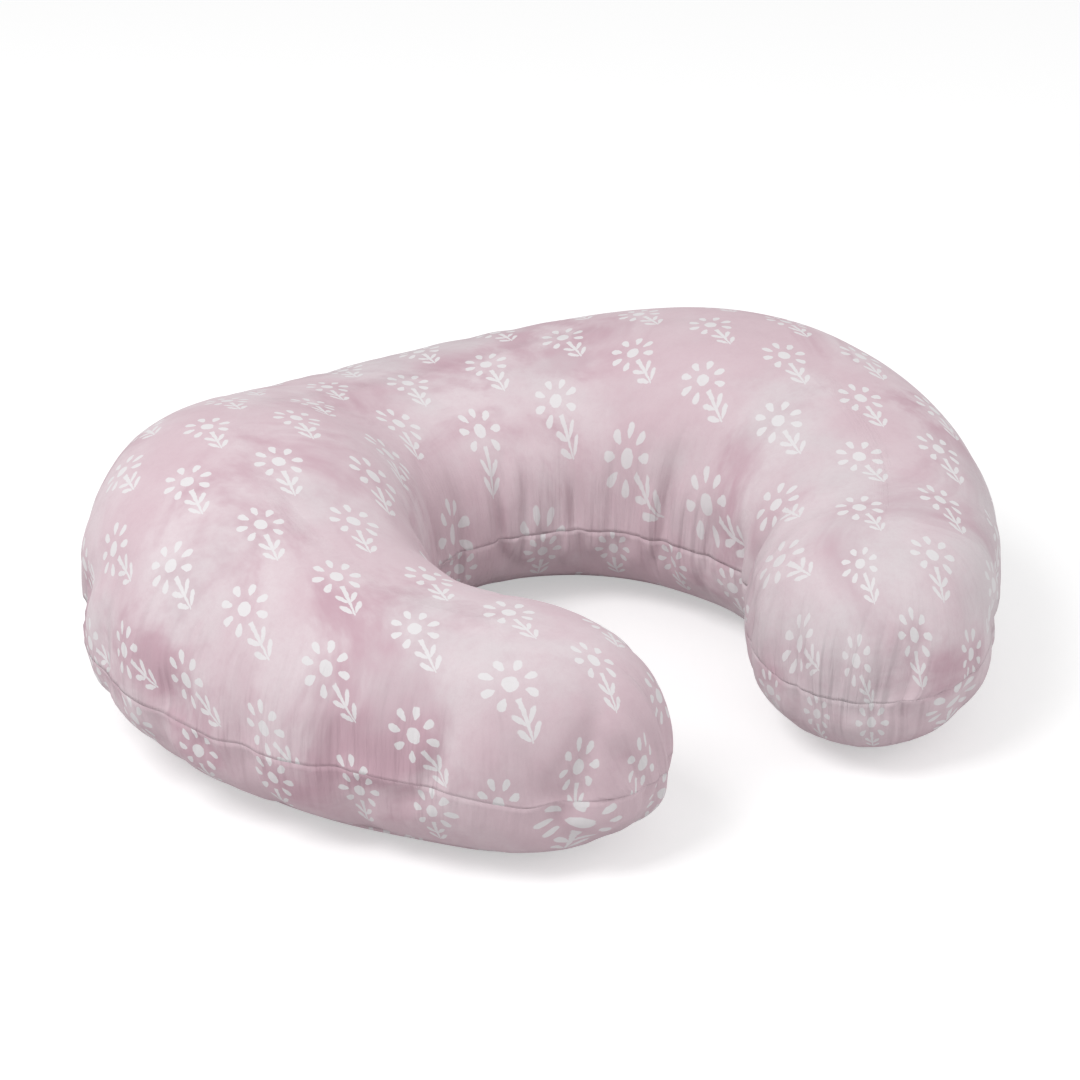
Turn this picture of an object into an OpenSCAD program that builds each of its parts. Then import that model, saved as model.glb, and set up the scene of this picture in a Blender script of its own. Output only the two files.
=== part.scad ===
// Nursing pillow: a stuffed C-shaped insert inside a printed cotton cover with a zip at the back.
// Millimetres, +Z up. The origin is on the floor, under the middle of the pillow's outline.
// The mouth of the C faces -Y, and the pillow is the same on both sides of the YZ plane.
// Every cloth surface is one rounded section carried along the centre line of the C.

/* [Plan] */
// Radius of the centre line round the back
back_r = 186; // [165:1:225]
// Angle from the middle of the back to where the arm starts
back_a = 31; // [31:1:37]
// Radius of the centre line round each arm
arm_r = 174; // [160:1:209]
// Angle through which each arm turns
arm_a = 91.5; // [76:0.5:93]
// Radius of the centre line in the forearm
forearm_r = 326; // [270:2:500]
// Length of the forearm, up to its round end
forearm_len = 43; // [35:1:55]
// Length of the round end
end_len = 101; // [84:1:122]

/* [Width] */
// Width of the pillow across the back
back_w = 198; // [165:1:212]
// Width across each shoulder
shoulder_w = 200; // [166:1:216]
// Width across each forearm
forearm_w = 144; // [120:1:173]
// Where the shoulder is, as a share of the arm's arc
shoulder_at = 0.4; // [0.3:0.05:0.5]

/* [Height] */
// Height of the upper seam above the floor
seam_z = 58; // [48:1:70]
// Height of the back above the seam
back_h = 75; // [62:1:90]
// Height of each shoulder above the seam
shoulder_h = 98; // [81:1:118]
// Height of each forearm above the seam
forearm_h = 67; // [55:1:81]
// Fullness of the section above the seam, 2 is an ellipse
crown_n = 2.34; // [2:0.01:2.8]
// Fullness of the section under the seam
wall_n = 2.2; // [2:0.01:3]
// Depth by which the full section would pass the floor, which makes the flat underside
flat_depth = 4; // [3:0.5:8]
// Section angle at which the bands stop and the base panel starts
base_t = 50; // [42:1:56]
// Distance of the band's end seam from the round end
corner_back = 18; // [0:1:40]

/* [Cover] */
// Thickness of the cover cloth
cloth = 0.8; // [0.5:0.1:1.2]
// Radius of the sewn seam's thread
thread_r = 0.5; // [0.3:0.1:0.7]
// Room between the cover's wall and the insert's wall
ease = 6.5; // [6:0.5:10]
// Width, length and thickness of each label
label = [32, 46, 0.3];
// Distance between the two labels and the middle of the back
label_x = 30; // [20:1:60]

/* [Insert] */
// Thickness of the insert's casing cloth
casing = 0.7; // [0.4:0.1:1.2]
// Room between the cover and the insert at the top and the bottom
snug = 0.6; // [0.4:0.1:1]
// Room between the casing and the fibre
fill_gap = 1.5; // [1.2:0.1:2]

/* [Zip] */
// Length of the zip's coil
zip_len = 280; // [232:1:280]
// Height of each tape
tape_h = 11; // [9:0.5:13]
// Thickness of each tape
tape_t = 0.5; // [0.4:0.1:0.7]
// Length of tape past each end of the coil
tape_over = 11; // [9:0.5:14]
// Depth of the tape's outer face behind the cover's outer face
tape_in = 3.2; // [3:0.1:3.6]
// Height of each coil
coil_h = 1.95; // [1.6:0.05:2.2]
// Thickness of each coil
coil_t = 2; // [1.6:0.1:2]
// Gap between the two halves of the zip
zip_gap = 1.3; // [1.2:0.1:1.6]
// Height of the opening in the cover that shows the coil
zip_window = 12; // [11:0.5:16]
// Length of each stop
stop_len = 2.5; // [2:0.1:3]
// Length of the slider
slider_len = 12; // [10:0.5:15]
// Height of the slider
slider_h = 9; // [8.5:0.1:10]
// Thickness of the slider's plates
plate_t = 1.2; // [0.9:0.1:1.3]
// Length of the slider's web between the two coils
web_len = 4; // [3:0.5:6]
// Radius of the pin that holds the pull tab
pin_r = 0.8; // [0.6:0.1:0.9]
// Length of the pull tab from the pin
pull_len = 24; // [18:1:30]
// Width of the pull tab
pull_w = 7; // [6:0.5:9]
// Thickness of the pull tab
pull_t = 1.2; // [1:0.1:1.4]
// Clearance round every moving piece of the zip
clear = 0.3; // [0.25:0.05:0.4]

/* [Hidden] */

deg = 180 / PI;
back_len = back_r * back_a / deg;
arm_len = arm_r * arm_a / deg;
straight = back_len + arm_len + forearm_len;
shoulder_s = back_len + shoulder_at * arm_len;

// The sewing line is a loop: steps along each side of the C, then round each end.
side_n = 24;
end_n = 12;
loop_n = 4 * side_n + 2 * end_n;
mate_sum = 4 * side_n + end_n;
step = straight / side_n;
// Section angle at which the two sides of a panel meet along the ridge
ridge_t = 87;
// Rows of facets in the crown, the bands, the base and each half of the insert
crown_rows = 8;
band_rows = 3;
base_rows = 4;
insert_rows = 5;

// Layers of the pillow, each as the distance inside the cover's face at the wall and at the top
cover_face = [0, 0];
cover_lining = [cloth, cloth];
insert_face = [ease, cloth + snug];
insert_lining = insert_face + [casing, casing];
fibre_face = insert_lining + [fill_gap, fill_gap];

function ramp(x, a, b) = let (t = min(max((x - a) / (b - a), 0), 1)) t * t * (3 - 2 * t);
function power(x, n) = x <= 0 ? 0 : pow(x, n);
function flip(list) = [for (i = [len(list) - 1 : -1 : 0]) list[i]];
function wrap(k) = (k + loop_n) % loop_n;
function mate(k) = wrap(mate_sum - k);

// Centre line: distance s from the middle of the back gives the heading and the point.
function heading(s) =
    s < back_len ? s / back_r * deg :
    s < back_len + arm_len ? back_a + (s - back_len) / arm_r * deg :
    back_a + arm_a + (s - back_len - arm_len) / forearm_r * deg;
function bend(p, a, r, s) =
    p + r * [sin(a + s / r * deg) - sin(a), cos(a + s / r * deg) - cos(a)];
arm_start = bend([0, 0], 0, back_r, back_len);
forearm_start = bend(arm_start, back_a, arm_r, arm_len);
function spine(s) =
    s < back_len ? bend([0, 0], 0, back_r, s) :
    s < back_len + arm_len ? bend(arm_start, back_a, arm_r, s - back_len) :
    bend(forearm_start, back_a + arm_a, forearm_r, s - back_len - arm_len);

// Half width and crown height along the centre line; the width is constant round the back arc.
function blend_along(s, from, sizes) =
    sizes[0] + (sizes[1] - sizes[0]) * ramp(s, from, shoulder_s)
    + (sizes[2] - sizes[1]) * ramp(s, shoulder_s, straight);
function half_w(s) = blend_along(s, back_len, [back_w, shoulder_w, forearm_w]) / 2;
function crown(s) = blend_along(s, 0, [back_h, shoulder_h, forearm_h]);

// One step of the loop: signed distance along the C, place across it, place along the round end.
loop = concat(
    [for (i = [-side_n : side_n]) [i * step, 1, 0]],
    [for (j = [1 : end_n - 1]) [straight, cos(180 * j / end_n), sin(180 * j / end_n)]],
    [for (i = [side_n : -1 : -side_n]) [i * step, -1, 0]],
    [for (j = [1 : end_n - 1]) [-straight, -cos(180 * j / end_n), sin(180 * j / end_n)]]);

function in_plan(side, s, across) =
    [side * (spine(s).x + across * sin(heading(s))), spine(s).y + across * cos(heading(s))];
function loop_plan(k, rho, inset) =
    let (s = abs(loop[k].x), along = rho * (end_len - inset) * loop[k].z)
    in_plan(sign(loop[k].x), s + along, rho * (half_w(s) - inset) * loop[k].y);

outline_y = [for (k = [0 : loop_n - 1]) loop_plan(k, 1, 0).y];
shift_y = -(max(outline_y) + min(outline_y)) / 2;

// A point of a layer: loop step k, section angle t from the seam, above or under the seam.
function skin(k, t, layer, above) =
    let (n = above ? crown_n : wall_n, rise = power(sin(t), 2 / n),
        s = abs(loop[k].x), p = loop_plan(k, power(cos(t), 2 / n), layer[0]),
        z = above ? seam_z + (crown(s) - layer[1]) * rise
            : max(layer[1], seam_z - (seam_z + flat_depth - layer[1]) * rise))
    [p.x, p.y + shift_y, z];

// Zip places: angles go round the back arc's hub, from the middle of the back towards +X.
hub_y = shift_y - back_r;
zip_r = back_r + back_w / 2;
function zip_deg(length) = length / zip_r * deg;
coil_a = zip_deg(zip_len) / 2;
tape_a = coil_a + zip_deg(tape_over);
window_s = tape_a / deg * back_r;
tape_r = zip_r - tape_in;
under_r = tape_r - tape_t - clear;
over_r = tape_r + coil_t + clear;
slider_a = coil_a - zip_deg(slider_len / 2 + clear);
pin_at = over_r + plate_t + clear + 2.5 * pin_r;
eye_r = 2.5 * pin_r;

// Half of the zip window, which opens the seam round the back and closes past the tape's ends
function window(k) =
    loop[k].y < 1 ? 0 :
    zip_window / 2 * min(1, max(0, 1 - (abs(loop[k].x) - window_s - step) / step));
function rim_t(k, above) =
    above ? asin(power(window(k) / crown(abs(loop[k].x)), crown_n / 2))
        : asin(power(window(k) / (seam_z + flat_depth), wall_n / 2));

function ring(t_from, t_to, f, layer, above) =
    [for (k = [0 : loop_n - 1]) skin(k, t_from[k] + (t_to - t_from[k]) * f, layer, above)];
function rings(t_from, t_to, rows, layer, above) =
    [for (i = [0 : rows]) ring(t_from, t_to, i / rows, layer, above)];
no_rim = [for (k = [0 : loop_n - 1]) 0];
base_rim = [for (k = [0 : loop_n - 1]) base_t];
crown_rim = [for (k = [0 : loop_n - 1]) rim_t(k, true)];
wall_rim = [for (k = [0 : loop_n - 1]) rim_t(k, false)];

// Faces that close a ring along its ridge
function ridge_faces(o) =
    [for (i = [-end_n / 2 : 2 * side_n + end_n / 2 - 1])
        let (a = wrap(i), b = wrap(i + 1), c = mate(i + 1), d = mate(i))
        each concat(b == c ? [] : [[o + a, o + b, o + c]], a == d ? [] : [[o + a, o + c, o + d]])];

// A closed solid from rings that run from one ridge, out over a rim and back to another ridge
module puffed(rows) {
    last = (len(rows) - 1) * loop_n;
    polyhedron(
        points = [for (row = rows) each row],
        faces = concat(
            [for (o = [0 : loop_n : last - 1], k = [0 : loop_n - 1])
                let (b = (k + 1) % loop_n, up = o + loop_n)
                each [[o + k, o + b, up + b], [o + k, up + b, up + k]]],
            ridge_faces(last),
            [for (f = ridge_faces(0)) flip(f)]));
}

// A solid from like sections carried along the loop, as a band of cloth or a line of thread
module swept(sections, closed) {
    n = len(sections);
    c = len(sections[0]);
    polyhedron(
        points = [for (s = sections) each s],
        faces = concat(
            [for (i = [0 : n - (closed ? 1 : 2)], j = [0 : c - 1])
                let (a = i * c, b = (i + 1) % n * c, u = (j + 1) % c)
                each [[a + j, b + j, b + u], [a + j, b + u, a + u]]],
            closed ? [] : [[for (j = [0 : c - 1]) j], [for (j = [c - 1 : -1 : 0]) (n - 1) * c + j]]));
}

function band_section(k) = concat(
    [for (i = [band_rows : -1 : 0])
        skin(k, wall_rim[k] + (base_t - wall_rim[k]) * i / band_rows, cover_face, false)],
    [for (i = [0 : band_rows])
        skin(k, wall_rim[k] + (base_t - wall_rim[k]) * i / band_rows, cover_lining, false)]);
function thread_section(k, t, inset, above) =
    [for (a = [0 : 60 : 300])
        skin(k, t, [inset - thread_r * cos(a), inset], above) + [0, 0, thread_r * sin(a)]];

// Loop steps of the bands' end seams, which lie on the inner side of each forearm
corner_steps = round(corner_back / step);
right_corner = 2 * side_n + end_n + corner_steps;
left_corner = 4 * side_n + end_n - corner_steps;

module arc_block(r, z, a) {
    translate([0, hub_y, seam_z]) rotate([0, 0, 90 - a[1]])
        rotate_extrude(angle = a[1] - a[0], $fn = 180)
            translate([r[0], z[0]]) square([r[1] - r[0], z[1] - z[0]]);
}
module at_slider(r) {
    translate([0, hub_y, seam_z]) rotate([0, 0, -slider_a]) translate([0, r, 0]) children();
}

// Crowned top of the cover, cut as one piece, with its lower edge at the upper seam
module top_panel() {
    color([0.83, 0.75, 0.78]) puffed(concat(
        flip(rings(crown_rim, ridge_t, crown_rows, cover_lining, true)),
        rings(crown_rim, ridge_t, crown_rows, cover_face, true)));
}

// Strip below the upper seam, from one forearm's inner corner round the outside to the other
module outer_band() {
    color([0.80, 0.71, 0.74]) swept(
        [for (k = [left_corner - loop_n : right_corner]) band_section(wrap(k))], false);
}

// Strip below the upper seam round the waist opening
module inner_band() {
    color([0.78, 0.69, 0.72]) swept(
        [for (k = [right_corner : left_corner]) band_section(k)], false);
}

// Flat underside of the cover
module base_panel() {
    color([0.79, 0.71, 0.74]) puffed(concat(
        flip(rings(base_rim, ridge_t, base_rows, cover_face, false)),
        rings(base_rim, ridge_t, base_rows, cover_lining, false)));
}

// Thread inside the upper seam, from one end of the zip round the arms to the other
module upper_seam_thread() {
    past = ceil((window_s + 2 * step) / step);
    color("white") swept([for (k = [side_n + past : loop_n + side_n - past])
        thread_section(wrap(k), 0, cloth + thread_r + 0.1, true)], false);
}

// Thread inside the seam between the bands and the base panel
module lower_seam_thread() {
    color("white") swept([for (k = [0 : loop_n - 1])
        thread_section(k, base_t, cloth + 2 * thread_r, false)], true);
}

module zip_tape(up) {
    color("white") arc_block([tape_r - tape_t, tape_r],
        up ? [zip_gap / 2, tape_h] : [-tape_h, -zip_gap / 2], [-tape_a, tape_a]);
}
module zip_coil(up) {
    color([0.93, 0.92, 0.93]) arc_block([tape_r, tape_r + coil_t],
        up ? [zip_gap / 2, zip_gap / 2 + coil_h] : [-zip_gap / 2 - coil_h, -zip_gap / 2],
        [-coil_a, coil_a]);
}

// A small stop on each tape, at the closed end
module zip_top_stops() {
    a = [coil_a, coil_a + zip_deg(stop_len)];
    color("silver") {
        arc_block([tape_r, tape_r + coil_t], [zip_gap / 2, zip_gap / 2 + coil_h], a);
        arc_block([tape_r, tape_r + coil_t], [-zip_gap / 2 - coil_h, -zip_gap / 2], a);
    }
}

// The stop that holds both tapes together at the open end
module zip_bottom_stop() {
    color("silver") arc_block([tape_r, tape_r + coil_t],
        [-zip_gap / 2 - coil_h, zip_gap / 2 + coil_h], [-coil_a - zip_deg(stop_len), -coil_a]);
}

// Cover cloth sewn over both ends of the tapes
module zip_end_patches() {
    a = coil_a + zip_deg(stop_len + 1);
    color([0.83, 0.75, 0.78]) for (ends = [[a, tape_a], [-tape_a, -a]])
        arc_block([tape_r, tape_r + cloth], [-zip_window / 2 - 2, zip_window / 2 + 2], ends);
}

// Two curved plates with side lips, a web that runs between the coils, and a bridge for the tab
module zip_slider() {
    half = zip_deg(slider_len) / 2;
    span = [slider_a - half, slider_a + half];
    web = [slider_a + half - zip_deg(web_len + 1), slider_a + half - zip_deg(1)];
    post = slider_h / 2 - 1;
    lip_edge = slider_h / 2 - 0.1;
    color("silver") {
        arc_block([over_r, over_r + plate_t], [-slider_h / 2, slider_h / 2], span);
        arc_block([under_r - plate_t, under_r], [-slider_h / 2, slider_h / 2], span);
        arc_block([under_r - plate_t / 2, over_r + plate_t / 2],
            [-zip_gap / 2 + clear, zip_gap / 2 - clear], web);
        for (z = [[-lip_edge, -post], [post, lip_edge]])
            arc_block([tape_r + clear, over_r + plate_t / 2], z, span);
        at_slider(pin_at) {
            cylinder(h = slider_h, r = pin_r, center = true, $fn = 32);
            for (side = [-1, 1]) translate([0, (over_r - pin_at) / 2, side * (slider_h / 2 - 0.5)])
                cube([3 * pin_r, pin_at - over_r + 2 * pin_r, 1], center = true);
        }
    }
}

// Flat tab that turns on the slider's pin and lies back along the coil
module zip_pull_tab() {
    eye_h = slider_h - 2 - 2 * clear;
    color("silver") at_slider(pin_at) difference() {
        union() {
            cylinder(h = eye_h, r = eye_r, center = true, $fn = 48);
            translate([-eye_r - 3, -pull_t / 2, -eye_h / 2]) cube([eye_r + 3, pull_t, eye_h]);
            translate([-pull_len + pull_w / 2, -pull_t / 2, -pull_w / 2])
                cube([pull_len - pull_w / 2 - eye_r - 2, pull_t, pull_w]);
            translate([-pull_len + pull_w / 2, 0, 0]) rotate([90, 0, 0])
                cylinder(h = pull_t, d = pull_w, center = true, $fn = 48);
        }
        cylinder(h = 2 * slider_h, r = pin_r + clear, center = true, $fn = 32);
        translate([-pull_len + pull_w / 2, 0, 0]) rotate([90, 0, 0])
            cylinder(h = 2 * pull_t, d = pull_w / 2, center = true, $fn = 32);
    }
}

module flat_label(x, z) {
    color("white") translate([x - label.x / 2, shift_y - label.y / 2, z]) cube(label);
}

// Plain casing of the insert, in an upper and a lower half that meet at the seam's height
module insert_top_panel() {
    color([0.93, 0.92, 0.90]) puffed(concat(
        flip(rings(no_rim, ridge_t, insert_rows, insert_lining, true)),
        rings(no_rim, ridge_t, insert_rows, insert_face, true)));
}
module insert_bottom_panel() {
    color([0.92, 0.91, 0.89]) puffed(concat(
        flip(rings(no_rim, ridge_t, insert_rows, insert_face, false)),
        rings(no_rim, ridge_t, insert_rows, insert_lining, false)));
}
module insert_seam_thread() {
    color("white") swept([for (k = [0 : loop_n - 1])
        thread_section(k, 0, ease - thread_r - 0.1, true)], true);
}

// Loose fibre that fills the casing
module fibre_filling() {
    above = rings(no_rim, ridge_t, insert_rows, fibre_face, true);
    under = rings(no_rim, ridge_t, insert_rows, fibre_face, false);
    color([0.96, 0.96, 0.95]) puffed(concat(
        flip(under), [for (i = [1 : insert_rows]) above[i]]));
}

top_panel();
outer_band();
inner_band();
base_panel();
upper_seam_thread();
lower_seam_thread();
zip_tape(true);  // zip_tape_upper
zip_tape(false);  // zip_tape_lower
zip_coil(true);  // zip_coil_upper
zip_coil(false);  // zip_coil_lower
zip_top_stops();
zip_bottom_stop();
zip_end_patches();
zip_slider();
zip_pull_tab();
flat_label(-label_x, cloth);  // care_label
insert_top_panel();
insert_bottom_panel();
insert_seam_thread();
flat_label(label_x, cloth + snug - label.z);  // insert_label
fibre_filling();
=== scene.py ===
# Nursing pillow: a stuffed C-shaped insert inside a zipped cover of printed cotton.
# Metres, +Z up, the mouth of the C faces -Y. The sections follow the pillow as it is made:
# the sewn form, the printed cloth, the four panels of the cover, the zip, the insert, the view.
import math
import bmesh
import bpy
import numpy as np
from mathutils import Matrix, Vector, noise


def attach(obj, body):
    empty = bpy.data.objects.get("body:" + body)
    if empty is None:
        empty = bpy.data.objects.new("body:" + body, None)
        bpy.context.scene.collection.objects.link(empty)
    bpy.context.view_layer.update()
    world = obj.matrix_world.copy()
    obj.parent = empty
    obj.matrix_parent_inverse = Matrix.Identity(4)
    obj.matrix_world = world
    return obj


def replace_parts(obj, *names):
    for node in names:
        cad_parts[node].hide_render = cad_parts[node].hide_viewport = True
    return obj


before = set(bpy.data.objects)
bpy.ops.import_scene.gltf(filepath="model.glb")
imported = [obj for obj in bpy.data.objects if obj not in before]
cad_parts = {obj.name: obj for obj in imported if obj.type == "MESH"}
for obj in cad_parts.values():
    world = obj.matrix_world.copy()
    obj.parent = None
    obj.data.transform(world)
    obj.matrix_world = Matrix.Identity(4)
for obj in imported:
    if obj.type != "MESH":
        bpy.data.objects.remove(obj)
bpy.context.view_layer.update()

# ---------------------------------------------------------------- sewn form
# The cover before it is cut apart: one closed skin whose rounded section runs along the
# centre line of the C, from one arm tip round the back to the other. Its sizes are the CAD's.
BACK_R, BACK_A = 0.186, math.radians(31)
ARM_R, ARM_A = 0.174, math.radians(91.5)
FOREARM_R, FOREARM_LEN, END_LEN = 0.326, 0.043, 0.101
BACK_W, SHOULDER_W, FOREARM_W = 0.198, 0.200, 0.144
SEAM_Z, BACK_H, SHOULDER_H, FOREARM_H = 0.058, 0.075, 0.098, 0.067
CROWN_N, WALL_N, FLAT_DEPTH = 2.34, 2.2, 0.004
BASE_T = math.radians(50)
ARM_START = BACK_R * BACK_A
FOREARM_START = ARM_START + ARM_R * ARM_A
STRAIGHT = FOREARM_START + FOREARM_LEN
SHOULDER = ARM_START + 0.4 * ARM_R * ARM_A
SHIFT_Y = 0.147253
JOIN = STRAIGHT - 0.0176
REACH = STRAIGHT + END_LEN
ZIP_R = BACK_R + BACK_W / 2
ZIP_HALF = 0.151 / ZIP_R * BACK_R
ALONG_N, ACROSS_N, BAND_N = 230, 50, 9
TOP, OUTER, INNER, BASE = 0, 1, 2, 3


def bend(point, angle, radius, run):
    """The end of an arc of length run that starts at point with this heading."""
    turned = angle + run / radius
    return (point[0] + radius * (math.sin(turned) - math.sin(angle)),
            point[1] + radius * (math.cos(turned) - math.cos(angle)), turned)


arm_from = bend((0, 0), 0, BACK_R, ARM_START)
forearm_from = bend(arm_from, BACK_A, ARM_R, ARM_R * ARM_A)


def centre_line(s):
    """Point and heading at distance s from the middle of the back."""
    if s < ARM_START:
        return bend((0, 0), 0, BACK_R, s)
    if s < FOREARM_START:
        return bend(arm_from, BACK_A, ARM_R, s - ARM_START)
    return bend(forearm_from, BACK_A + ARM_A, FOREARM_R, s - FOREARM_START)


def ramp(x, start, end):
    """0 before start and 1 after end, with a smooth rise between them."""
    t = min(max((x - start) / (end - start), 0), 1)
    return t * t * (3 - 2 * t)


def taper(s, start, back, shoulder, forearm):
    """A size at distance s along the C, given at the back, the shoulder and the forearm."""
    return (back + (shoulder - back) * ramp(s, start, SHOULDER)
            + (forearm - shoulder) * ramp(s, SHOULDER, STRAIGHT))


def sewn(along, across, down):
    """Where a point of the flat cut lies on the stuffed form. along and across run from -1
    to 1. down is 0 on the top panel, and grows to 1 where the bands meet the base."""
    reach = abs(along) * REACH
    s = min(reach, STRAIGHT)
    round_x = (reach - s) / END_LEN
    x, y = round_x * math.sqrt(1 - across ** 2 / 2), across * math.sqrt(1 - round_x ** 2 / 2)
    edge = min(math.hypot(x, y), 1)
    inward = 1 - edge
    if down <= 0:
        inward *= 1 - 0.75 * math.exp(-(inward / 0.06) ** 2)
        t, n, height = math.pi / 2 * inward, CROWN_N, taper(s, 0, BACK_H, SHOULDER_H, FOREARM_H)
    else:
        t = BASE_T * down if edge > 0.9999 else BASE_T + (math.pi / 2 - BASE_T) * inward
        n, height = WALL_N, SEAM_Z + FLAT_DEPTH
    spread = max(math.cos(t), 0) ** (2 / n) / max(edge, 1e-6)
    rise = max(math.sin(t), 0) ** (2 / n)
    width = taper(s, ARM_START, BACK_W, SHOULDER_W, FOREARM_W) / 2
    px, py, heading = centre_line(s + END_LEN * x * spread)
    side = width * y * spread
    z = SEAM_Z + height * rise if down <= 0 else max(SEAM_Z - height * rise, 0)
    return Vector((math.copysign(px + side * math.sin(heading), along),
                   py + side * math.cos(heading) + SHIFT_Y, z))


def closed_cut(name):
    """Two grids joined by rows of band round their rim, kept flat: z holds minus down."""
    cut = bmesh.new()
    bmesh.ops.create_grid(cut, x_segments=ALONG_N, y_segments=ACROSS_N, size=1)
    rim = [e for e in cut.edges if e.is_boundary]
    for row in range(BAND_N):
        grown = bmesh.ops.extrude_edge_only(cut, edges=rim)["geom"]
        bmesh.ops.translate(cut, verts=[g for g in grown if isinstance(g, bmesh.types.BMVert)],
                            vec=(0, 0, -1 / BAND_N))
        rim = [g for g in grown if isinstance(g, bmesh.types.BMEdge) and g.is_boundary]
    base = bmesh.ops.create_grid(cut, x_segments=ALONG_N, y_segments=ACROSS_N, size=1)["verts"]
    bmesh.ops.translate(cut, verts=base, vec=(0, 0, -1))
    bmesh.ops.remove_doubles(cut, verts=cut.verts, dist=1e-4)
    bmesh.ops.recalc_face_normals(cut, faces=cut.faces)
    mesh = bpy.data.meshes.new(name)
    cut.to_mesh(mesh)
    cut.free()
    return mesh


def read_vertices(mesh, what):
    """Places ("co") or normals ("normal") of a mesh's vertices, one row each."""
    values = np.empty(len(mesh.vertices) * 3)
    mesh.vertices.foreach_get(what, values)
    return values.reshape(-1, 3)


def move_vertices(mesh, places):
    mesh.vertices.foreach_set("co", places.ravel())
    mesh.update()


form = closed_cut("cover_form")
flat = read_vertices(form, "co") * (1, 1, -1)
smooth_form = np.array([sewn(*p) for p in flat])
# The shoulders are stuffed a little fuller than the cut, the left one more than the right, and
# the back between them a little less
by_shoulder = np.exp(-((np.abs(flat[:, 0]) * REACH - 0.185) / 0.075) ** 2)
fuller = np.where(flat[:, 0] < 0, 0.0095, 0.0050) * by_shoulder
fuller -= 0.0065 * np.exp(-((flat[:, 0] * REACH + 0.035) / 0.075) ** 2)
smooth_form[:, 2] += fuller * np.clip((smooth_form[:, 2] - SEAM_Z) / 0.09, 0, 1) ** 1.3
move_vertices(form, smooth_form)
cover = bpy.data.objects.new("cover_form", form)
bpy.context.collection.objects.link(cover)

# ---------------------------------------------------------------- stuffing the cover
# The insert presses the cover out, and the sewn seams hold it back, so the cloth gathers into
# soft folds across them. The base lies on the floor and the zip keeps the back of the seam
# straight. The cloth is simulated, and its result applied before the cover is cut apart.
along, across, down = flat.T
reach = np.abs(along) * REACH
tip_x = np.clip((reach - STRAIGHT) / END_LEN, 0, 1)
disc_x, disc_y = tip_x * np.sqrt(1 - across ** 2 / 2), across * np.sqrt(1 - tip_x ** 2 / 2)
edge = np.minimum(np.hypot(disc_x, disc_y), 1)
on_top, on_base = down <= 0, down > 0.9999
at_rim = on_top & (edge > 0.9999)
# Signed place by the upper seam: minus up the crown, plus down the band, 1 at the lower seam
rim_down = np.where(on_top, edge - 1, down)
# Length along the seam: round the outside, round the tip, and back along the waist
around = np.arctan2(disc_x, across)
OUTER_STRETCH, WAIST_STRETCH, TIP_R = 1.5, 0.55, 0.083
outer_run, tip_run = OUTER_STRETCH * STRAIGHT, TIP_R * math.pi
on_waist = outer_run + tip_run + WAIST_STRETCH * (STRAIGHT - reach)
on_side = np.where(across > 0, OUTER_STRETCH * reach, on_waist)
rim_run = np.where(reach < STRAIGHT, on_side, outer_run + TIP_R * around)
FULL_RUN = (OUTER_STRETCH + WAIST_STRETCH) * STRAIGHT + tip_run
rim_run = np.copysign(rim_run, along)
zip_side = np.clip(1.2 - np.abs(along) / 0.36, 0, 1) * np.clip(2.4 * across - 1, 0, 1)
pinned = cover.vertex_groups.new(name="held")
sewn_in = cover.vertex_groups.new(name="gathered")
hold = np.where(on_base, 1, np.maximum(0.9 * np.maximum(down, 0) ** 4, 0.9 * zip_side))
hold = np.where(at_rim, np.maximum(hold, 0.35), hold)
below = np.where(on_base, 0.3, np.exp(-(down / 0.16) ** 2))
gathered = np.where(on_top, np.exp(-(rim_down / 0.05) ** 2), below)
for i in range(len(flat)):
    pinned.add([i], float(hold[i]), "REPLACE")
    sewn_in.add([i], float(gathered[i]), "REPLACE")

filled = smooth_form.copy()
links = np.array([e.vertices for e in form.edges])
link_count = np.bincount(links.ravel(), minlength=len(flat))[:, None]


def relaxed(values, rounds):
    """Values averaged with their neighbours' along the mesh, so only broad changes stay."""
    for _ in range(rounds):
        total = np.zeros_like(values)
        np.add.at(total, links[:, 0], values[links[:, 1]])
        np.add.at(total, links[:, 1], values[links[:, 0]])
        values = 0.5 * values + 0.5 * total / link_count
    return values


SETTLE_FRAMES = 24
FOLD_DEPTH, SMALL_FOLD, BROAD_ROUNDS = 0.0034, 0.009, 60
cloth = cover.modifiers.new("stuffed", "CLOTH")
cloth.settings.quality = 6
cloth.settings.mass = 0.25
cloth.settings.tension_stiffness = cloth.settings.compression_stiffness = 16
cloth.settings.shear_stiffness = 6
cloth.settings.bending_stiffness = 0.08
cloth.settings.tension_damping = cloth.settings.compression_damping = 8
cloth.settings.air_damping = 3
cloth.settings.vertex_group_mass = "held"
cloth.settings.pin_stiffness = 2.5
cloth.settings.use_pressure = True
cloth.settings.uniform_pressure_force = 1.0
cloth.settings.vertex_group_shrink = "gathered"
cloth.settings.shrink_min = -0.035
cloth.settings.shrink_max = 0.03
cloth.settings.effector_weights.gravity = 0
cloth.collision_settings.use_collision = False
cloth.point_cache.frame_start, cloth.point_cache.frame_end = 1, SETTLE_FRAMES
for frame_number in range(1, SETTLE_FRAMES + 1):
    bpy.context.scene.frame_set(frame_number)
settled = cover.evaluated_get(bpy.context.evaluated_depsgraph_get())
moved = read_vertices(settled.data, "co") - smooth_form
bpy.context.scene.frame_set(1)
cover.modifiers.clear()
folds = moved - relaxed(moved, BROAD_ROUNDS)
size = np.linalg.norm(folds, axis=1)[:, None]
held_flat = (1 - 0.6 * np.exp(-(rim_down / 0.12) ** 2))[:, None]
filled = smooth_form + folds * FOLD_DEPTH / (SMALL_FOLD + size) * held_flat

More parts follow.
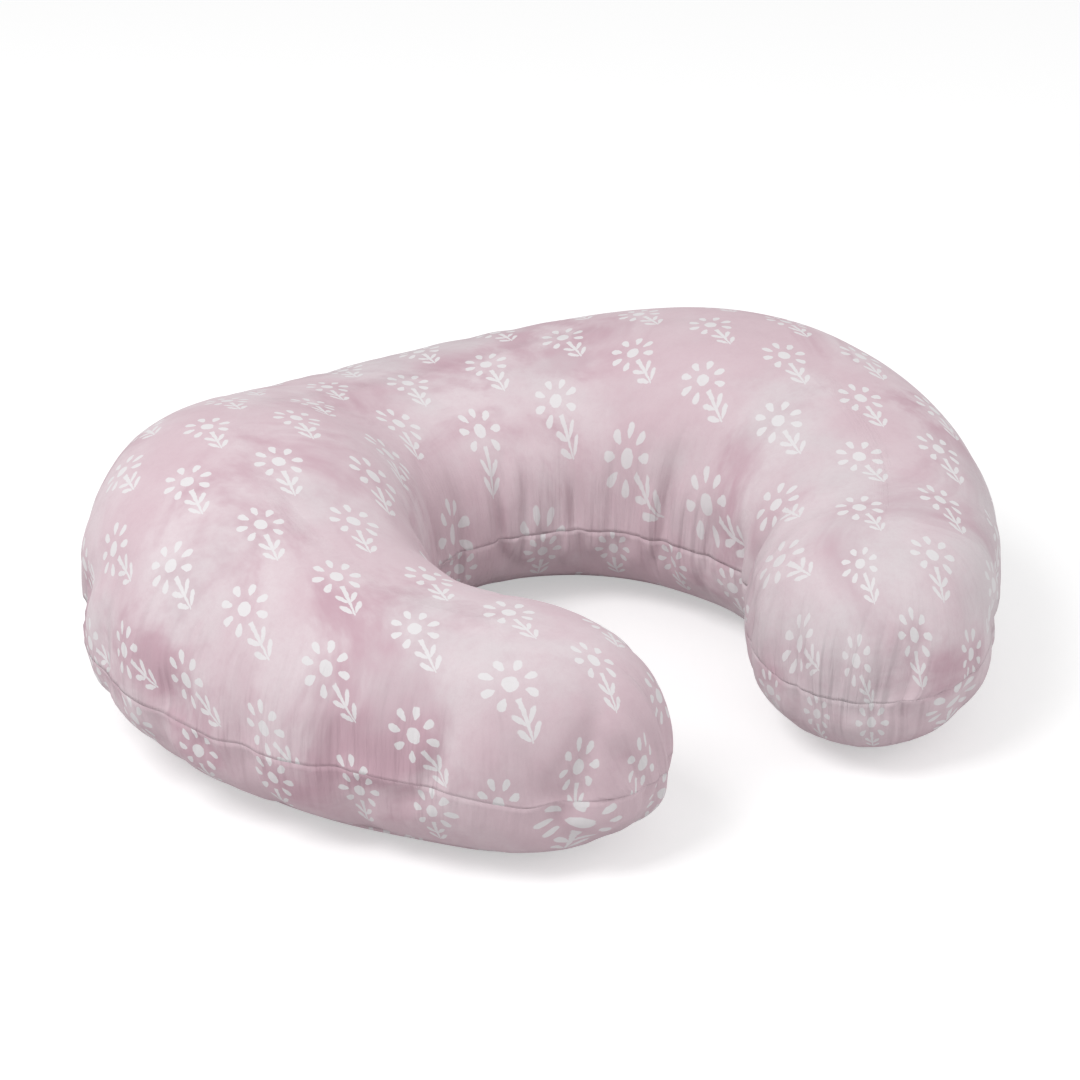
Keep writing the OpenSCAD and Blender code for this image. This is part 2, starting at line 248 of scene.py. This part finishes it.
# Sewn edges pull the cloth into upright folds, which run out up the crown and down the band.
move_vertices(form, smooth_form)
outward = read_vertices(form, "normal")
calm = 1 - 0.7 * zip_side
unfolded = filled.copy()
for i in np.nonzero(~on_base & (rim_down > -0.85))[0]:
    turn = math.pi * rim_run[i] / FULL_RUN
    at = Vector((math.cos(turn), math.sin(turn), 0)) * (FULL_RUN / math.pi)
    lean = Vector((0, 0, 0.03 * rim_down[i]))
    drop = float(rim_down[i])
    tall = 0.30 + 0.22 * noise.noise(at * 14 + Vector((3, 1, 7)))
    fade = math.exp(-(drop / 0.55) ** 2) if drop > 0 else math.exp(-(drop / tall) ** 2)
    fade *= 1 - 0.5 * math.exp(-(drop / 0.04) ** 2)
    broad = noise.noise(at * 26 + lean * 20)
    fine = noise.noise(at * 62 + lean * 40)
    valley = math.exp(-(noise.noise(at * 17 + lean * 30 + Vector((9, 4, 1))) / 0.12) ** 2)
    pinch = math.exp(-(noise.noise(at * 38 + lean * 30 + Vector((2, 8, 5))) / 0.16) ** 2)
    strength = 0.6 + 1.1 * max(0, noise.noise(at * 5 + Vector((1, 2, 3))) + 0.2)
    filled[i] += outward[i] * float(fade * calm[i] * strength) * (
        0.0016 * broad + 0.0016 * fine - 0.0070 * valley - 0.0040 * pinch)
# Deeper single folds: side of the C, place along it, across, depth, half width, height up the crown
TUCKS = ((-1, 0.372, 1, 0.0060, 0.0060, 0.34),
         (-1, 0.332, 1, 0.0042, 0.0052, 0.26),
         (1, JOIN - 0.006, -1, 0.0085, 0.0085, 0.40),
         (-1, JOIN - 0.004, -1, 0.0070, 0.0080, 0.36),
         (1, 0.405, 1, 0.0048, 0.0050, 0.30))
for arm, where, side, depth, half, tall in TUCKS:
    centre = where + 0.010 * rim_down
    line = np.exp(-((reach - centre) / half) ** 2) * (along * arm > 0) * (across * side > 0.02)
    fade = np.exp(-(np.minimum(rim_down, 0) / tall) ** 2) * (1 - 0.5 * np.clip(rim_down, 0, 1)) * ~on_base
    filled -= outward * (line * fade * depth)[:, None]
# No fold is so deep that the casing underneath would show through it
DEEPEST = -0.0095
sunk = ((filled - unfolded) * outward).sum(axis=1)
filled += outward * np.maximum(DEEPEST - sunk, 0)[:, None]
# The outer sides swell a little past the cut, and the seam sags towards the tips and the waist
swell = np.exp(-((reach - 0.27) / 0.14) ** 2) * np.clip(2 * across, 0, 1) * (1 - np.maximum(down, 0))
filled += outward * (swell * np.where(along < 0, 0.0075, 0.0050))[:, None]
seam_pull = np.where(rim_down < 0, np.exp(-(rim_down / 0.3) ** 2), (1 - rim_down) ** 0.7)
at_tip = np.clip((reach - 0.38) / 0.09, 0, 1) ** 2 * np.where(along < 0, 0.0085, 0.0050)
at_waist = np.exp(-(reach / 0.22) ** 2) * (across < 0) * 0.0045 * np.clip(-4 * across, 0, 1)
filled[:, 2] -= seam_pull * (at_tip + at_waist) * ~on_base
filled[:, 2] = np.where(on_base, smooth_form[:, 2], np.maximum(filled[:, 2], 0.0012))

# ---------------------------------------------------------------- printed cotton
# Plain-weave cotton, block printed in white with one flower in a half-drop repeat, over a
# clouded pink ground. Each piece's "print" map holds its place on the uncut cloth in metres.
COLUMN, REPEAT, DRAWN = 0.052, 0.105, 0.00082
PALE, MIDDLE, DEEP, GREY = ((0.735, 0.632, 0.665), (0.672, 0.518, 0.566),
                            (0.560, 0.368, 0.430), (0.675, 0.638, 0.652))
printed = bpy.data.materials.new("printed_cotton")
printed.use_nodes = True
net = printed.node_tree
shader = net.nodes["Principled BSDF"]


def node(kind, **settings):
    """A node of the printed cotton, with its settings."""
    made = net.nodes.new(kind)
    for key, value in settings.items():
        setattr(made, key, value)
    return made


def calc(operation, *values):
    """The output of one maths node on sockets or plain numbers."""
    made = node("ShaderNodeMath", operation=operation)
    for k, value in enumerate(values):
        if isinstance(value, (int, float)):
            made.inputs[k].default_value = value
        else:
            net.links.new(value, made.inputs[k])
    return made.outputs[0]


def total(*values):
    result = values[0]
    for value in values[1:]:
        result = calc("ADD", result, value)
    return result


def inside(value, edge=1.0, soft=0.12):
    """1 where value is below edge, 0 where it is above, with a soft step between."""
    made = node("ShaderNodeMapRange", interpolation_type="SMOOTHSTEP")
    net.links.new(value, made.inputs[0])
    for k, number in enumerate((edge - soft, edge + soft, 1.0, 0.0), 1):
        made.inputs[k].default_value = number
    return made.outputs[0]


def oval(along, across, length, width, swell):
    """Squared distance of a drop shape: 1 on its edge, wider at its far end."""
    far = calc("DIVIDE", along, length)
    wide = calc("MULTIPLY", calc("MULTIPLY_ADD", far, swell, 1.0), width)
    aside = calc("ABSOLUTE", calc("DIVIDE", across, wide))
    return total(calc("MULTIPLY", far, far), calc("POWER", aside, 2.0))


place = node("ShaderNodeUVMap", uv_map="print")
wander = node("ShaderNodeTexNoise", noise_dimensions="3D")
wander.inputs["Scale"].default_value = 420
wander.inputs["Detail"].default_value = 1
net.links.new(place.outputs[0], wander.inputs["Vector"])
sway = node("ShaderNodeVectorMath", operation="MULTIPLY_ADD")
net.links.new(wander.outputs["Color"], sway.inputs[0])
sway.inputs[1].default_value = (0.0012, 0.0012, 0)
net.links.new(place.outputs[0], sway.inputs[2])
parts = node("ShaderNodeSeparateXYZ")
net.links.new(sway.outputs[0], parts.inputs[0])
ink = None
for shift_x, shift_v in ((0.0, 0.0), (COLUMN / 2, REPEAT / 2)):
    px = calc("PINGPONG", calc("ADD", parts.outputs[0], shift_x), COLUMN / 2)
    mx = calc("DIVIDE", calc("SUBTRACT", COLUMN / 2, px), DRAWN)
    turn = calc("DIVIDE", calc("ADD", parts.outputs[1], shift_v), REPEAT)
    my = calc("DIVIDE", calc("MULTIPLY", calc("SUBTRACT", calc("FRACT", turn), 0.62), REPEAT), DRAWN * 1.12)
    r = calc("SQRT", total(calc("MULTIPLY", mx, mx), calc("MULTIPLY", my, my)))
    angle = calc("ARCTAN2", mx, my)
    slot_at = calc("ROUND", calc("DIVIDE", angle, math.pi / 4))
    local = calc("SUBTRACT", angle, calc("MULTIPLY", slot_at, math.pi / 4))
    petal = oval(calc("SUBTRACT", calc("MULTIPLY", r, calc("COSINE", local)), 12.6),
                 calc("MULTIPLY", r, calc("SINE", local)), 3.9, 2.3, 0.32)
    petals = calc("MULTIPLY", inside(petal, 1.0, 0.2), inside(slot_at, 3.5, 0.1))
    disc = inside(calc("DIVIDE", r, 4.5), 1.0, 0.07)
    slim = calc("MULTIPLY_ADD", calc("ADD", my, 9.5), 0.052, 1.75)
    stem = calc("MULTIPLY", inside(calc("DIVIDE", mx, slim), 1.0, 0.2),
                calc("MULTIPLY", inside(my, -9.5, 0.4), inside(calc("MULTIPLY", my, -1.0), 34.0, 0.4)))
    marks = [petals, disc, stem]
    for low in (-23.0, -31.5):
        rx, ry = calc("SUBTRACT", mx, 0.6), calc("SUBTRACT", my, low - 1.5)
        si, co = math.sin(math.radians(38)), math.cos(math.radians(38))
        out = calc("SUBTRACT", calc("ADD", calc("MULTIPLY", rx, si), calc("MULTIPLY", ry, co)), 5.4)
        aside = calc("SUBTRACT", calc("MULTIPLY", rx, co), calc("MULTIPLY", ry, si))
        marks.append(inside(oval(out, aside, 4.9, 1.6, 0.3), 1.0, 0.25))
    for mark in marks:
        ink = mark if ink is None else calc("MAXIMUM", ink, mark)

# The dyed ground drifts between four shades, with a fine grain and the weave over it
body = node("ShaderNodeTexCoord")


def clouds(scale, detail, roughness, low, high, warp=0.0):
    """Soft patches: 0 where the noise is below low, 1 where it is above high."""
    made = node("ShaderNodeTexNoise", noise_dimensions="3D")
    made.inputs["Scale"].default_value = scale
    made.inputs["Detail"].default_value = detail
    made.inputs["Roughness"].default_value = roughness
    made.inputs["Distortion"].default_value = warp
    net.links.new(body.outputs["Object"], made.inputs["Vector"])
    return calc("SUBTRACT", 1.0, inside(made.outputs["Fac"], (low + high) / 2, (high - low) / 2))


def tint(factor, first, second):
    """The first colour where factor is 0, the second where it is 1."""
    made = node("ShaderNodeMix", data_type="RGBA")
    net.links.new(factor, made.inputs[0])
    for socket, value in ((made.inputs[6], first), (made.inputs[7], second)):
        if isinstance(value, tuple):
            socket.default_value = (*value, 1)
        else:
            net.links.new(value, socket)
    return made.outputs[2]


ground = tint(clouds(7, 4, 0.55, 0.38, 0.62, warp=0.6), MIDDLE, PALE)
ground = tint(calc("MULTIPLY", clouds(8, 5, 0.62, 0.47, 0.66, warp=0.9), 0.90), ground, DEEP)
ground = tint(calc("MULTIPLY", clouds(6.3, 4, 0.6, 0.48, 0.66), 0.55), ground, GREY)
ground = tint(calc("MULTIPLY", clouds(60, 3, 0.7, 0.45, 0.75), 0.16), ground, DEEP)
ground = tint(calc("MULTIPLY", clouds(330, 3, 0.8, 0.4, 0.7), 0.10), ground, DEEP)
weave_u = node("ShaderNodeTexWave", wave_type="BANDS", bands_direction="X")
weave_v = node("ShaderNodeTexWave", wave_type="BANDS", bands_direction="Y")
for weave in (weave_u, weave_v):
    weave.inputs["Scale"].default_value = 420
    weave.inputs["Distortion"].default_value = 1.2
    weave.inputs["Detail Scale"].default_value = 0.4
    net.links.new(place.outputs[0], weave.inputs["Vector"])
threads = calc("MULTIPLY", weave_u.outputs["Fac"], weave_v.outputs["Fac"])
worn = calc("MULTIPLY", ink, calc("SUBTRACT", 1.0, calc("MULTIPLY", clouds(240, 2, 0.6, 0.55, 0.8), 0.12)))
net.links.new(tint(calc("MULTIPLY", worn, 0.97), ground, (0.775, 0.752, 0.764)), shader.inputs["Base Color"])
shader.inputs["Roughness"].default_value = 0.88
shader.inputs["Specular IOR Level"].default_value = 0.18
shader.inputs["Sheen Weight"].default_value = 0.12
shader.inputs["Sheen Roughness"].default_value = 0.5
# Relief: the weave, a slight crumple, and gathers that run across the seams and fade from them
crumple = node("ShaderNodeTexNoise", noise_dimensions="3D")
crumple.inputs["Scale"].default_value = 55
crumple.inputs["Detail"].default_value = 4
net.links.new(body.outputs["Object"], crumple.inputs["Vector"])
seam_map = node("ShaderNodeUVMap", uv_map="seam")
seam_parts = node("ShaderNodeSeparateXYZ")
net.links.new(seam_map.outputs[0], seam_parts.inputs[0])
stretched = node("ShaderNodeCombineXYZ")
net.links.new(seam_parts.outputs[0], stretched.inputs[0])
net.links.new(calc("MULTIPLY", seam_parts.outputs[1], 0.12), stretched.inputs[1])
gathers = node("ShaderNodeTexNoise", noise_dimensions="2D")
gathers.inputs["Scale"].default_value = 190
gathers.inputs["Detail"].default_value = 2
net.links.new(stretched.outputs[0], gathers.inputs["Vector"])
EULER = 2.718
near_seam = calc("POWER", EULER, calc("DIVIDE", calc("ABSOLUTE", seam_parts.outputs[1]), -0.035))
lines = None
for pitch, sharp, depth in ((21, 0.075, 0.0062), (44, 0.09, 0.0034)):
    where = node("ShaderNodeTexNoise", noise_dimensions="2D")
    where.inputs["Scale"].default_value = pitch
    where.inputs["Detail"].default_value = 0.6
    net.links.new(stretched.outputs[0], where.inputs["Vector"])
    off = calc("DIVIDE", calc("SUBTRACT", where.outputs["Fac"], 0.5), sharp)
    crease = calc("POWER", EULER, calc("MULTIPLY", calc("MULTIPLY", off, off), -1.0))
    line = calc("MULTIPLY", crease, -depth)
    lines = line if lines is None else calc("ADD", lines, line)
patchy = clouds(11, 2, 0.5, 0.38, 0.60)
lines = calc("MULTIPLY", calc("MULTIPLY", lines, near_seam), patchy)
puckers = calc("MULTIPLY", gathers.outputs["Fac"], near_seam)
relief = total(calc("MULTIPLY", threads, 0.00006), calc("MULTIPLY", crumple.outputs["Fac"], 0.0011),
               calc("MULTIPLY", puckers, 0.0040), lines)
bump = node("ShaderNodeBump")
bump.inputs["Strength"].default_value = 0.55
bump.inputs["Distance"].default_value = 1.0
net.links.new(relief, bump.inputs["Height"])
net.links.new(bump.outputs[0], shader.inputs["Normal"])

# ---------------------------------------------------------------- cutting the cover apart
# Each panel is its own cloth, 0.8 mm thick, turned under along a narrow groove at every seam.
CROWN_RUN, WALL_RUN = 0.13, 0.062
CLOTH, SEAM_GROOVE, LOW_GROOVE, PUFF, ZIP_LIFT = 0.0008, 0.0003, 0.0016, 0.0002, 0.006
move_vertices(form, filled)
face_out = read_vertices(form, "normal")
groove = np.exp(-(rim_down / 0.012) ** 2) * SEAM_GROOVE
low_groove = np.where(rim_down > 0.999, LOW_GROOVE, 0)
by_join = np.exp(-((reach - JOIN) / 0.0035) ** 2)
join_groove = by_join * (across < -0.9999) * (down > 0) * LOW_GROOVE
shaped = filled - face_out * (groove + join_groove + low_groove * (edge > 0.9999))[:, None]
puffed_lip = np.where(rim_down < 0, np.exp(-((rim_down + 0.035) / 0.02) ** 2) * PUFF, 0)
shaped += face_out * puffed_lip[:, None]
shaped[:, 2] = np.maximum(shaped[:, 2], 0)


def panel_of(corners):
    """The panel that a face with these corners belongs to."""
    downs = flat[corners, 2]
    if downs.max() <= 0:
        return TOP
    if downs.min() > 0.9999:
        return BASE
    return INNER if across[corners].mean() < -0.9999 and reach[corners].mean() < JOIN else OUTER


owner = [panel_of(list(face.vertices)) for face in form.polygons]


def cut_panel(name, which):
    """One panel as its own object, with maps for the print and for its place by the seam."""
    cut = bmesh.new()
    cut.from_mesh(form)
    cut.verts.ensure_lookup_table()
    cut.faces.ensure_lookup_table()
    index = cut.verts.layers.int.new("cut_index")
    for vert in cut.verts:
        vert[index] = vert.index
        vert.co = shaped[vert.index]
    bmesh.ops.delete(cut, geom=[f for f in cut.faces if owner[f.index] != which], context="FACES")
    print_map = cut.loops.layers.uv.new("print")
    seam_uv = cut.loops.layers.uv.new("seam")
    # Along the zip the two edges stand apart, the top panel's up and the band's down
    lift = ZIP_LIFT if which == TOP else -ZIP_LIFT
    for vert in cut.verts:
        k = vert[index]
        if which != BASE and flat[k, 1] > 0.9999 and flat[k, 2] <= 0:
            vert.co.z += lift * (1 - ramp(reach[k], ZIP_HALF - 0.013, ZIP_HALF - 0.001))
    for face in cut.faces:
        face.smooth = True
        for loop in face.loops:
            k = loop.vert[index]
            away = (CROWN_RUN if which == TOP else WALL_RUN) * float(rim_down[k])
            loop[seam_uv].uv = (abs(float(rim_run[k])), away if which != BASE else 1.0)
            loop[print_map].uv = (loop.vert.co.x, loop.vert.co.y)
    mesh = bpy.data.meshes.new(name)
    cut.to_mesh(mesh)
    cut.free()
    mesh.materials.append(printed)
    panel = bpy.data.objects.new(name, mesh)
    bpy.context.collection.objects.link(panel)
    area = sum(p.area for p in mesh.polygons)
    soft = panel.modifiers.new("rounded", "SUBSURF")
    soft.levels = soft.render_levels = 1
    thick = panel.modifiers.new("cloth_thickness", "SOLIDIFY")
    thick.thickness, thick.offset = CLOTH, -1
    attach(panel, "pillow")
    return panel, area


# ---------------------------------------------------------------- top panel
# The crown of the cover, from seam to seam. It is one piece of the printed cotton, cut wider
# than the plan so that it can bulge.
top, top_area = cut_panel("top_panel_cloth", TOP)
# Its print lies on the flat cut: each point is as far from the ridge as the cloth runs, a
# little closer on the waist side, where the cloth is eased in.
ARC_STEPS = 180
steps = np.radians(np.linspace(90, 0, ARC_STEPS + 1))
arc_x, arc_z = np.cos(steps) ** (2 / CROWN_N), np.sin(steps) ** (2 / CROWN_N)
LEAN = math.radians(10)
place_of = {}
for i in np.nonzero(on_top)[0]:
    s = min(reach[i], STRAIGHT)
    half = taper(s, ARM_START, BACK_W, SHOULDER_W, FOREARM_W) / 2
    high = taper(s, 0, BACK_H, SHOULDER_H, FOREARM_H)
    wide = half + (END_LEN - half) * (disc_x[i] / max(edge[i], 1e-6)) ** 2
    inward = 1 - edge[i]
    inward *= 1 - 0.75 * math.exp(-(inward / 0.06) ** 2)
    upto = ARC_STEPS - round(ARC_STEPS * inward)
    run = np.hypot(np.diff(arc_x[:upto + 1]) * wide, np.diff(arc_z[:upto + 1]) * high).sum()
    toward_waist = max(-disc_y[i] / max(edge[i], 1e-6), 0)
    run -= 1.6 * toward_waist * run ** 2
    px, py, heading = centre_line(s + run * disc_x[i] / max(edge[i], 1e-6))
    side = run * disc_y[i] / max(edge[i], 1e-6)
    x = math.copysign(px + side * math.sin(heading), along[i])
    y = py + side * math.cos(heading)
    place_of[i] = (x * math.cos(LEAN) - y * math.sin(LEAN) + 0.010,
                   x * math.sin(LEAN) + y * math.cos(LEAN) + 0.02)
top_map = top.data.uv_layers["print"].data
cut_index = top.data.attributes["cut_index"].data
for polygon in top.data.polygons:
    for k, v in zip(polygon.loop_indices, polygon.vertices):
        top_map[k].uv = place_of[cut_index[v].value]
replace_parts(top, "top_panel")

# ---------------------------------------------------------------- side bands
# Two strips under the seam, one round the outside of the C and one round its waist. They
# meet at an upright join near the inner corner of each arm tip.
for name, which, cad_node, cut_size in (("outer_band_cloth", OUTER, "outer_band", (1.70, 0.065)),
                                        ("inner_band_cloth", INNER, "inner_band", (0.45, 0.065))):
    band, band_area = cut_panel(name, which)
    band_map = band.data.uv_layers["print"].data
    for polygon in band.data.polygons:
        for k in polygon.loop_indices:
            where = band.data.uv_layers["seam"].data[k].uv
            side = 1 if polygon.center.x > 0 else -1
            band_map[k].uv = (where[0] * side, -where[1] * 1.05 + 0.026)
    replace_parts(band, cad_node)

# ---------------------------------------------------------------- base panel
# The underside is one flat piece of the same cotton, which lies on the floor and meets the
# bands at the lower seam.
base, base_area = cut_panel("base_panel_cloth", BASE)
base.modifiers.remove(base.modifiers["rounded"])
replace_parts(base, "base_panel")

# ---------------------------------------------------------------- seam threads
# A thread inside the upper seam, which stops short of the zip at both ends, and one inside
# the lower seam all the way round.
THREAD_R, THREAD_UNDER, ON_FLOOR = 0.0003, 0.0016, 0.0006
thread = bpy.data.materials.new("sewing_thread")
thread.use_nodes = True
thread.node_tree.nodes["Principled BSDF"].inputs["Base Color"].default_value = (0.78, 0.70, 0.73, 1)
thread.node_tree.nodes["Principled BSDF"].inputs["Roughness"].default_value = 0.7


def thread_line(name, path, radius, closed, material=thread):
    """A round thread through the points of path."""
    line = bpy.data.curves.new(name, "CURVE")
    line.dimensions = "3D"
    line.bevel_depth, line.bevel_resolution = radius, 1
    run = line.splines.new("POLY")
    run.points.add(len(path) - 1)
    run.points.foreach_set("co", np.column_stack([path, np.ones(len(path))]).ravel())
    run.use_cyclic_u = closed
    line.materials.append(material)
    made = bpy.data.objects.new(name, line)
    bpy.context.collection.objects.link(made)
    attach(made, "pillow")
    return made


def rim_loop(level):
    """Vertices of one row of the cut, in order round the form, from the middle of the back."""
    at_level = np.abs(flat[:, 2] - level) < 1e-4
    row = np.nonzero(at_level & (np.abs(flat[:, :2]).max(axis=1) > 0.9999))[0]
    x, y = flat[row, 0], flat[row, 1]
    order = np.where(y > 0.9999, x, np.where(x > 0.9999, 2 - y, np.where(y < -0.9999, 4 - x, 6 + y)))
    return row[np.argsort(order % 8, kind="stable")]


for name, level, cad_node in (("upper_seam_stitching", 0, "upper_seam_thread"),
                              ("lower_seam_stitching", 1, "lower_seam_thread")):
    row = rim_loop(level)
    path = shaped[row] - face_out[row] * THREAD_UNDER
    path[:, 2] = np.maximum(path[:, 2], ON_FLOOR)
    if level == 0:
        open_at = (across[row] > 0.9999) & (reach[row] < ZIP_HALF + 0.010)
        start = int(np.nonzero(open_at)[0].max()) + 1
        path = np.roll(path, -start, axis=0)[:len(row) - int(open_at.sum())]
    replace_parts(thread_line(name, path, THREAD_R, level == 1), cad_node)

# ---------------------------------------------------------------- zip
# A nylon coil zip behind the upper seam round the back: two tapes, two coils, stops at its
# ends, cloth patches over the tapes' ends, and an enamelled slider with a pull tab.
HUB = Vector((0, SHIFT_Y - BACK_R, SEAM_Z))
TAPE_R, COIL_T = ZIP_R - 0.0032, 0.002
COIL_A = 0.140 / ZIP_R
PITCH, STITCH = 0.00155, 0.0012
TURN_STEPS = 10


def round_zip(angle, radius, z):
    """A point of the zip, which bends round the back of the C."""
    return np.array([HUB.x + radius * math.sin(angle), HUB.y + radius * math.cos(angle), HUB.z + z])


def plain(name, colour, rough, metal=0.0):
    """A material of one colour."""
    made = bpy.data.materials.new(name)
    made.use_nodes = True
    sockets = made.node_tree.nodes["Principled BSDF"].inputs
    sockets["Base Color"].default_value = (*colour, 1)
    sockets["Roughness"].default_value = rough
    sockets["Metallic"].default_value = metal
    return made


def cover_with(cad_node, material):
    """Gives a piece of the frame this material and returns the piece."""
    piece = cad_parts[cad_node]
    piece.data.materials.clear()
    piece.data.materials.append(material)
    return piece


tape_cloth = plain("zip_tape_cloth", (0.80, 0.71, 0.74), 0.85)
knit = tape_cloth.node_tree
rib = knit.nodes.new("ShaderNodeTexWave")
rib.bands_direction = "Z"
rib.inputs["Scale"].default_value = 260
rib_at = knit.nodes.new("ShaderNodeTexCoord")
rib_bump = knit.nodes.new("ShaderNodeBump")
rib_bump.inputs["Distance"].default_value = 0.0003
knit.links.new(rib_at.outputs["Object"], rib.inputs["Vector"])
knit.links.new(rib.outputs["Fac"], rib_bump.inputs["Height"])
knit.links.new(rib_bump.outputs[0], knit.nodes["Principled BSDF"].inputs["Normal"])
nylon = plain("zip_coil_nylon", (0.84, 0.77, 0.80), 0.38)
enamel = plain("zip_metal_enamel", (0.82, 0.76, 0.79), 0.28, 0.35)
for side, word in ((1, "upper"), (-1, "lower")):
    turns = int(2 * COIL_A * ZIP_R / PITCH)
    wound = []
    for k in range(turns * TURN_STEPS + 1):
        turn = k / TURN_STEPS
        angle = -COIL_A + (turn + (0.5 if side < 0 else 0)) * PITCH / ZIP_R
        swing = math.tau * turn
        z = side * (0.00120 - 0.00165 * math.cos(swing))
        wound.append(round_zip(angle, TAPE_R + COIL_T / 2 + 0.00062 * math.sin(swing), z))
    coil = thread_line(f"zip_coil_{word}_teeth", np.array(wound), 0.00034, False, nylon)
    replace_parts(coil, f"zip_coil_{word}")
    stitched = []
    for k in range(int(2 * COIL_A * ZIP_R / STITCH)):
        angle = -COIL_A + k * STITCH / ZIP_R
        in_out = 0.00010 if k % 2 else -0.00012
        stitched.append(round_zip(angle, TAPE_R + COIL_T + in_out, side * 0.00225))
    thread_line(f"zip_coil_{word}_stitching", np.array(stitched), 0.00016, False)
    cover_with(f"zip_tape_{word}", tape_cloth)
for cad_node in ("zip_top_stops", "zip_bottom_stop", "zip_slider", "zip_pull_tab"):
    eased = cover_with(cad_node, enamel).modifiers.new("eased_edges", "BEVEL")
    eased.width, eased.segments = 0.0002, 2
    eased.limit_method, eased.angle_limit = "ANGLE", math.radians(40)
cover_with("zip_end_patches", plain("patch_cotton", (0.64, 0.49, 0.54), 0.9))

# ---------------------------------------------------------------- insert
# The stuffed pillow inside the cover: a plain cotton casing, sewn round its rim and filled with
# loose fibre. It follows the cover from inside, with a little room.
CASING_UNDER, FIBRE_UNDER, CASING_THREAD_UNDER, CASING_CLOTH = 0.0095, 0.0120, 0.0091, 0.0007
settled_in = smooth_form + relaxed(shaped - smooth_form, 12)
casing = plain("casing_cotton", (0.86, 0.85, 0.83), 0.9)
fibre = plain("polyester_fibre", (0.92, 0.92, 0.91), 0.95)


def inner_piece(name, keep, depth, cad_nodes, material, thickness):
    """The panels for which keep is true, moved inward by depth."""
    cut = bmesh.new()
    cut.from_mesh(form)
    cut.verts.ensure_lookup_table()
    for vert in cut.verts:
        k = vert.index
        at = settled_in[k] - face_out[k] * depth
        vert.co = (at[0], at[1], max(at[2], depth * 0.25))
    cut.faces.ensure_lookup_table()
    bmesh.ops.delete(cut, geom=[f for f in cut.faces if not keep(owner[f.index])], context="FACES")
    for face in cut.faces:
        face.smooth = True
    mesh = bpy.data.meshes.new(name)
    cut.to_mesh(mesh)
    cut.free()
    mesh.materials.append(material)
    made = bpy.data.objects.new(name, mesh)
    bpy.context.collection.objects.link(made)
    if thickness:
        thick = made.modifiers.new("cloth_thickness", "SOLIDIFY")
        thick.thickness, thick.offset = thickness, -1
    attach(made, "pillow")
    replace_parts(made, *cad_nodes)
    return made


casing_top = inner_piece("insert_casing_top", lambda panel: panel == TOP, CASING_UNDER,
                         ["insert_top_panel"], casing, CASING_CLOTH)
casing_under = inner_piece("insert_casing_under", lambda panel: panel != TOP, CASING_UNDER,
                           ["insert_bottom_panel"], casing, CASING_CLOTH)
filling = inner_piece("fibre_fill", lambda panel: True, FIBRE_UNDER,
                      ["fibre_filling"], fibre, 0)
row = rim_loop(0)
casing_seam = settled_in[row] - face_out[row] * CASING_THREAD_UNDER
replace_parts(thread_line("insert_seam_stitching", casing_seam, THREAD_R, True), "insert_seam_thread")

# ---------------------------------------------------------------- labels
# Two blank labels of satin ribbon, which keep the CAD's shape. One is caught in the cover's
# lower seam and one is sewn to the casing.
satin = plain("label_satin_ribbon", (0.9, 0.9, 0.89), 0.4)
for cad_node in ("care_label", "insert_label"):
    cover_with(cad_node, satin)
bpy.data.objects.remove(cover)

# ---------------------------------------------------------------- floor, light and view
# A plain pale floor under an even white sky, with a lamp on each side. The floor glows a
# little to the camera alone, so that it reads as white paper and still takes a shadow.
bpy.ops.mesh.primitive_plane_add(size=60)
floor = bpy.context.object
floor.name = "floor"
paper = plain("floor_paper", (0.66, 0.66, 0.66), 0.95)
sheet = paper.node_tree
bright = sheet.nodes["Principled BSDF"]
bright.inputs["Emission Color"].default_value = (1, 1, 1, 1)
bright.inputs["Emission Strength"].default_value = 0.46
dim = sheet.nodes.new("ShaderNodeBsdfDiffuse")
dim.inputs[0].default_value = (0.66, 0.65, 0.655, 1)
seen = sheet.nodes.new("ShaderNodeLightPath")
either = sheet.nodes.new("ShaderNodeMixShader")
sheet.links.new(seen.outputs["Is Camera Ray"], either.inputs[0])
sheet.links.new(dim.outputs[0], either.inputs[1])
sheet.links.new(bright.outputs[0], either.inputs[2])
sheet.links.new(either.outputs[0], sheet.nodes["Material Output"].inputs["Surface"])
floor.data.materials.append(paper)
world = bpy.data.worlds.new("studio")
bpy.context.scene.world = world
world.use_nodes = True
world.node_tree.nodes["Background"].inputs[0].default_value = (1, 1, 1, 1)
world.node_tree.nodes["Background"].inputs[1].default_value = 0.56
AIM = Vector((-0.0063, -0.009, 0.0795))
LAMPS = (("key", (-1.5, -0.1, 2.1), 33, 1.1), ("fill", (1.9, -1.7, 1.2), 18, 2.2))
for name, place_at, power, width in LAMPS:
    lamp = bpy.data.lights.new(name, "AREA")
    lamp.energy, lamp.size = power, width
    lit = bpy.data.objects.new(name, lamp)
    bpy.context.collection.objects.link(lit)
    lit.location = place_at
    lit.rotation_euler = (Vector(place_at) - AIM).to_track_quat("Z", "Y").to_euler()
AZ, EL, VIEW_ANGLE, AWAY = math.radians(-31.20), math.radians(25.13), math.radians(20.206), 1.793
behind = Vector((math.sin(AZ) * math.cos(EL), -math.cos(AZ) * math.cos(EL), math.sin(EL)))
camera = bpy.data.objects.new("camera", bpy.data.cameras.new("camera"))
bpy.context.collection.objects.link(camera)
camera.data.angle = VIEW_ANGLE
camera.location = AIM + behind * AWAY
camera.rotation_euler = behind.to_track_quat("Z", "Y").to_euler()
bpy.context.scene.camera = camera
bpy.context.scene.view_settings.view_transform = "Standard"

bpy.context.view_layer.update()
